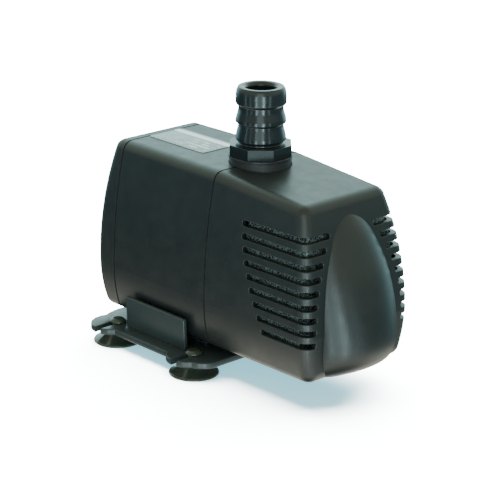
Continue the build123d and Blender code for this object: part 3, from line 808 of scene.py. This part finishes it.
@dataclass
class HoseTail:
    """Threaded hose tail with an eight-sided wrench flange and three bulged barbs. Sizes in mm."""

    axis_x: float = 1.2
    low: float = 103.4
    flange_low: float = 117.0
    flange_high: float = 123.3
    thread: float = 13.1
    pitch: float = 1.814
    thread_depth: float = 0.95
    across: float = 17.6
    turn: float = 2.0
    bore: float = 7.85
    count: int = 360

    def barbs(self) -> np.ndarray:
        """Radius and height of the barbs from the flange up and over the rim into the bore."""
        corners = [(self.across - 2.4, self.flange_high, 0), (12.0, self.flange_high, 0.7), (12.0, 124.7, 0.5),
                   (13.5, 125.4, 0.45), (13.5, 126.7, 0.9), (12.0, 132.9, 1.2), (12.0, 134.1, 0.5),
                   (13.5, 134.8, 0.45), (13.5, 136.3, 1.0), (12.0, 141.5, 1.2), (12.0, 144.0, 0.5),
                   (13.5, 144.8, 0.8), (13.5, 150.6, 3.0), (12.75, 152.9, 1.3), (12.1, 153.9, 0.35),
                   (9.3, 153.9, 1.0), (self.bore, 152.4, 0.8), (self.bore, 140.0, 0)]
        return eased_profile(corners, 7)

    def rows(self) -> np.ndarray:
        """Every ring of the tail.

        The thread is r = mean + depth tri((z - pitch a / 2 pi) / pitch), faded out at its ends. The flange
        is r = apothem / cos(angle from the middle of its flat), cut back near its edges by a cone.

        Returns:
            Points in metres, shape (rings, count, 3).
        """
        angle = ring_angles(self.count) + math.radians(0.5)
        height = np.arange(self.low, self.flange_low - 0.9, 0.24)[:, None]
        phase = (height - self.pitch * angle / (2 * math.pi)) / self.pitch % 1.0
        tooth = np.clip(2.6 * np.abs(2 * phase - 1) - 0.8, 0.0, 1.0)
        fade = np.clip((height - self.low) / 1.2, 0, 1) * np.clip((self.flange_low - 1.6 - height) / 0.8, 0, 1)
        thread = self.thread - self.thread_depth + self.thread_depth * tooth * fade
        apothem = self.across * math.cos(math.pi / 8)
        eighth = math.pi / 4
        off = (angle - math.radians(self.turn) + eighth / 2) % eighth - eighth / 2
        flat = apothem / np.cos(off)
        cuts = np.array([[-0.5, self.flange_low], [-0.2, self.flange_low + 0.05], [-0.05, self.flange_low + 0.2],
                         [1.6, self.flange_low + 0.5], [1.6, self.flange_high - 0.5],
                         [-0.05, self.flange_high - 0.2], [-0.2, self.flange_high - 0.05],
                         [-0.5, self.flange_high]])
        flange = flat * (1 + np.minimum(cuts[:, :1], 0.0) / apothem)
        barbs = self.barbs()
        radius = np.concatenate([thread, np.full((1, self.count), self.thread - self.thread_depth), flange,
                                 barbs[:, :1] + 0 * angle, np.full((2, self.count), self.bore)])
        heights = np.concatenate([height[:, 0], [self.flange_low], cuts[:, 1], barbs[:, 1],
                                  [self.flange_low, self.low]])[:, None]
        x = self.axis_x + radius * np.cos(angle)
        y = radius * np.sin(angle)
        return np.stack([x, y, heights + 0 * angle], -1) * MM

    def build(self, wardrobe: Wardrobe) -> None:
        """Make the tail."""
        tail = loop_skin("barbed_hose_tail", self.rows(), 28.0)
        settle(tail, Body.HOSE_TAIL, "gloss_black", wardrobe, "hose_tail")


@dataclass
class OutletSeal:
    """Flat rubber washer with rounded edges. Sizes in mm."""

    axis_x: float = 1.2
    low: float = 115.4
    high: float = 117.0
    inner: float = 13.2
    outer: float = 17.0

    def build(self, wardrobe: Wardrobe) -> None:
        """Make the washer by turning its rounded section."""
        corners = [(15.0, self.low, 0), (self.outer, self.low, 0.55), (self.outer, self.high, 0.55),
                   (self.inner, self.high, 0.3), (self.inner, self.low, 0.3), (14.9, self.low, 0)]
        section = eased_profile(corners, 6)
        seal = loop_skin("outlet_washer", turned(section[:-1] * MM, self.axis_x * MM, 0.0, 180), 60.0)
        settle(seal, Body.OUTLET_SEAL, "seal_rubber", wardrobe, "outlet_seal")


@dataclass
class SuctionCups:
    """Four rubber cups: thin flared skirt, neck in the keyhole and a button above it. Sizes in mm."""

    places: tuple = (("rear", -71.8), ("front", -7.7))
    side: float = 39.0
    radius: float = 13.8

    def section(self) -> np.ndarray:
        """Radius and height from the middle of the hollow, out over the rim and up to the button's top."""
        corners = [(0.1, 2.6, 0), (6.0, 2.3, 2.0), (10.4, 0.9, 1.2), (11.4, 0.0, 0.3), (13.4, 0.0, 0.15),
                   (self.radius, 0.45, 0.3), (13.3, 1.35, 0.4), (10.2, 2.5, 2.2), (7.2, 4.4, 1.6), (5.9, 7.0, 0.5),
                   (5.4, 7.45, 0.2), (3.5, 7.5, 0.2), (3.5, 11.0, 0.1), (4.75, 11.05, 0.3), (4.6, 12.1, 0.6),
                   (3.0, 13.3, 0.8), (0.1, 13.4, 0)]
        return eased_profile(corners, 5)

    def build(self, wardrobe: Wardrobe) -> None:
        """Make the four cups."""
        section = self.section() * MM
        for end, x in self.places:
            for hand in Hand:
                place = f"{end}_{hand.name.lower()}"
                cup = skin(f"cup_{place}", turned(section, x * MM, hand.value * self.side * MM, 96), 50.0)
                settle(cup, Body.BASE, "cup_rubber", wardrobe, f"suction_cup_{place}")


@dataclass
class Bracket:
    """Base plate with open keyholes in four ears, rail keepers and two leaning side clips. Sizes in mm."""

    low: float = 7.5
    high: float = 11.0
    rear: float = -87.5
    front: float = 9.0
    half: float = 48.5
    ear: float = 12.3
    cups: tuple = (-71.8, -7.7)
    cup_side: float = 39.0
    neck: float = 3.6
    mouth: float = 1.9
    edge: float = 0.6
    strip_ends: tuple = (-64.0, -13.0)
    clip_ends: tuple = (-62.0, -13.4)
    clip_sides: tuple = (38.2, 40.6)
    clip_low: float = 10.4
    clip_high: float = 29.0
    clip_lean: float = 1.0 / 19

    def ear_run(self, x: float, start: float, end: float) -> np.ndarray:
        """One ear's outline on the left side, walked towards +X, with its keyhole.

        Args:
            x: the cup's place.
            start: angle in degrees, about the ear's centre, where the outline comes onto the ear.
            end: the angle where it leaves it.

        Returns:
            Points of shape (n, 2).
        """
        reach, centre = self.cup_side + 2.5, x - 1.5
        bend = math.degrees(math.asin(self.mouth / self.neck))
        lips = [math.degrees(math.acos((x + side * self.mouth - centre) / self.ear)) for side in (-1, 1)]
        keyhole = arc(x, self.cup_side, self.neck, 90 + bend, 450 - bend, 25)
        return np.concatenate([arc(centre, reach, self.ear, start, lips[0], 15), keyhole,
                               arc(centre, reach, self.ear, lips[1], end, 13)])

    def outline(self) -> np.ndarray:
        """The plate's outline: rounded corners that run into the four ears."""
        left = [arc(self.rear + 22, self.half - 22, 22, 180, 151.2, 9), self.ear_run(self.cups[0], 200.9, 34.7),
                self.ear_run(self.cups[1], 145.3, 33.5), arc(self.front - 10, self.half - 10, 10, 78.1, 0, 11)]
        half = np.concatenate(left)
        return np.concatenate([half, half[::-1] * (1, -1)])

    def plate(self) -> bpy.types.Object:
        """The flat plate, from its outline and window, with rounded edges."""
        window = np.concatenate([arc(-64, -9, 2, 180, 270, 5), arc(-14, -9, 2, 270, 360, 5), arc(-14, 9, 2, 0, 90, 5),
                                 arc(-64, 9, 2, 90, 180, 5)])
        data = bpy.data.curves.new("plate_outline", "CURVE")
        data.dimensions = "2D"
        data.fill_mode = "BOTH"
        for loop in (self.outline(), window):
            spline = data.splines.new("POLY")
            spline.points.add(len(loop) - 1)
            spline.use_cyclic_u = True
            flat = np.concatenate([loop * MM, np.zeros((len(loop), 1)), np.ones((len(loop), 1))], 1)
            spline.points.foreach_set("co", flat.ravel())
        data.extrude = ((self.high - self.low) / 2 - self.edge) * MM
        data.bevel_depth = self.edge * MM
        data.bevel_resolution = 2
        data.offset = -self.edge * MM
        flat_curve = bpy.data.objects.new("plate_outline", data)
        mesh = bpy.data.meshes.new_from_object(flat_curve)
        mesh.transform(Matrix.Translation((0, 0, (self.high + self.low) / 2 * MM)))
        bpy.data.objects.remove(flat_curve)
        return piece_of("plate", mesh, 35.0)

    def strip(self, hand: Hand, sides: tuple, heights: tuple) -> bpy.types.Object:
        """A rounded strip along X.

        Args:
            hand: the side that it stands on.
            sides: its two distances from the middle.
            heights: its lowest and highest points.

        Returns:
            The strip.
        """
        near, far = sorted(hand.value * side * MM for side in sides)
        rear, front = self.strip_ends
        return rounded_block("strip", (rear * MM, near, heights[0] * MM), (front * MM, far, heights[1] * MM), 0.4 * MM)

    def keeper(self, hand: Hand) -> list[bpy.types.Object]:
        """Wall and hook that hold one rail's flange down."""
        return [self.strip(hand, (23.4, 25.9), (10.0, 14.2)), self.strip(hand, (20.4, 24.2), (13.0, 14.2))]

    def clip(self, hand: Hand) -> bpy.types.Object:
        """A side panel that leans outwards as it rises."""
        near, far = sorted(hand.value * side for side in self.clip_sides)
        rear, front = self.clip_ends
        return rounded_block("clip", (rear * MM, near * MM, self.clip_low * MM),
                             (front * MM, far * MM, self.clip_high * MM), 0.55 * MM, hand.value * self.clip_lean)

    def build(self, wardrobe: Wardrobe) -> None:
        """Make the bracket as one piece."""
        parts = [self.plate()]
        for hand in Hand:
            parts += [*self.keeper(hand), self.clip(hand)]
        bracket = joined("stand_bracket", parts, 35.0)
        settle(bracket, Body.BASE, "base_black", wardrobe, "base_bracket")


@dataclass
class Label:
    """Thin foil plate with rounded corners and edges on top of the motor casing. Sizes in mm."""

    rear: float = -75.0
    front: float = -30.0
    left: float = -13.0
    right: float = 11.0
    corner: float = 2.0

    def ring(self, inset: float) -> np.ndarray:
        """The rounded outline, moved inwards.

        Args:
            inset: how far it is moved.

        Returns:
            Points of shape (n, 2).
        """
        r = self.corner - inset
        x0, x1 = self.rear + self.corner, self.front - self.corner
        y0, y1 = self.left + self.corner, self.right - self.corner
        return np.concatenate([arc(x1, y0, r, -90, 0, 9), arc(x1, y1, r, 0, 90, 9), arc(x0, y1, r, 90, 180, 9),
                               arc(x0, y0, r, 180, 270, 9)])

    def build(self, wardrobe: Wardrobe) -> None:
        """Make the plate."""
        rows = []
        for inset, height in ((0.0, 112.6), (0.0, 112.82), (0.05, 112.88), (0.14, 112.9)):
            ring = self.ring(inset)
            rows.append(np.concatenate([ring, np.full((len(ring), 1), height)], 1))
        plate = skin("rating_plate", np.array(rows) * MM, 50.0)
        settle(plate, Body.PUMP, "label_silver", wardrobe, "rating_label")


@dataclass
class FoamBlock:
    """Open-cell prefilter foam behind the slots, pitted all over. Sizes in metres."""

    voxel: float = 0.95 * MM
    cell: float = 1.9 * MM
    depth: float = 0.75 * MM

    def pits(self, points: np.ndarray) -> np.ndarray:
        """Distance to the nearest of a jittered lattice's points, in cells.

        Each lattice corner's jitter is the fraction of a large sine of its own numbers.

        Args:
            points: places in metres, shape (n, 3).

        Returns:
            The distance at each place, shape (n,).
        """
        spot = points / self.cell
        home = np.floor(spot)
        best = np.full(len(spot), 9.0)
        for step in np.ndindex(3, 3, 3):
            corner = home + np.array(step) - 1
            seed = corner @ np.array([127.1, 311.7, 74.7])
            jitter = np.stack([np.sin(seed + k) * 43758.5453 % 1.0 for k in range(3)], -1)
            best = np.minimum(best, np.linalg.norm(corner + jitter - spot, axis=1))
        return best

    def build(self, wardrobe: Wardrobe) -> None:
        """Remesh a copy of the frame's foam evenly and press pits into it along its normals."""
        node = frame["nodes"]["prefilter_sponge"]
        copy = bpy.data.objects.new("foam_copy", node.data.copy())
        bpy.context.scene.collection.objects.link(copy)
        work = bmesh.new()
        work.from_mesh(copy.data)
        bmesh.ops.remove_doubles(work, verts=work.verts, dist=1e-6)
        work.to_mesh(copy.data)
        work.free()
        even = copy.modifiers.new("even", "REMESH")
        even.mode = "VOXEL"
        even.voxel_size = self.voxel
        view = bpy.context.evaluated_depsgraph_get()
        mesh = bpy.data.meshes.new_from_object(copy.evaluated_get(view))
        bpy.data.objects.remove(copy)
        points = np.empty(len(mesh.vertices) * 3)
        normals = np.empty(len(mesh.vertices) * 3)
        mesh.vertices.foreach_get("co", points)
        mesh.vertex_normals.foreach_get("vector", normals)
        points, normals = points.reshape(-1, 3), normals.reshape(-1, 3)
        sunk = np.clip(1.0 - self.pits(points) / 0.75, 0.0, 1.0)[:, None]
        points = points - normals * (0.25 * self.voxel + self.depth * sunk)
        mesh.vertices.foreach_set("co", points.ravel())
        foam = piece_of("foam_prefilter", mesh, 180.0)
        settle(foam, Body.STRAINER, "filter_foam", wardrobe, "prefilter_sponge")


def main() -> None:
    """Build the studio and every piece."""
    logging.basicConfig(level=logging.INFO, format="%(message)s")
    Studio().build()
    wardrobe = Wardrobe()
    wardrobe.dress_nodes()
    for sub_assembly in (HoseTail(), OutletSeal(), SuctionCups(), Bracket(), Label(), FoamBlock()):
        sub_assembly.build(wardrobe)


if __name__ == "__main__":
    main()
